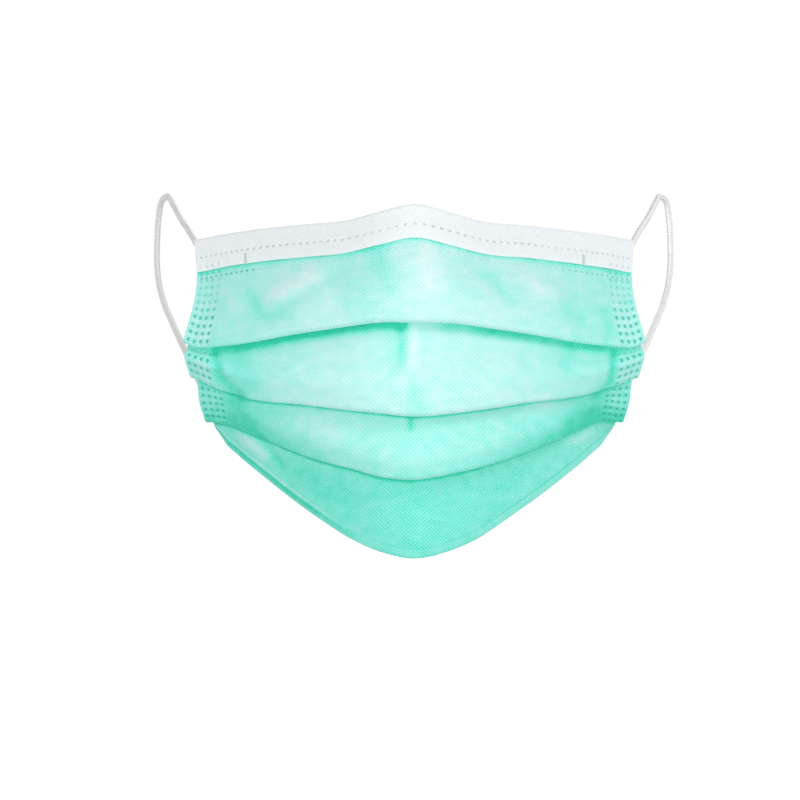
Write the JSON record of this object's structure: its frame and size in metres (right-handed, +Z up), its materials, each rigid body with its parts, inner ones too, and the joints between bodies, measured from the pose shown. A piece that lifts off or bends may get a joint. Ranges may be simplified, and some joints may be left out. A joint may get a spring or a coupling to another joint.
{
  "type": "surgical face mask",
  "caption": "Pleated disposable face mask in its worn shape, with downward pleats, a folded white top binding, dot-welded sides and thin elastic ear loops.",
  "frame": {"origin": "middle of the inner face of the top binding, where it rests on the bridge of the nose", "axes": "+X across the face to the right as seen from the front, +Y from the front of the mask towards the head, +Z up"},
  "size_m": [0.1734, 0.1454, 0.1183],
  "materials": {
    "mint_nonwoven": "soft matt spunbond nonwoven with a fine diagonal bond pattern",
    "white_nonwoven": "soft matt white spunbond nonwoven",
    "white_elastic": "matt white knitted elastic"
  },
  "bodies": {
    "root": {"pleated_body": "mint_nonwoven", "top_binding": "white_nonwoven", "loop_end_left_top": "white_elastic", "loop_end_left_lower": "white_elastic", "loop_end_right_top": "white_elastic", "loop_end_right_lower": "white_elastic", "ear_loop_left": "white_elastic", "ear_loop_right": "white_elastic"}
  },
  "joints": []
}
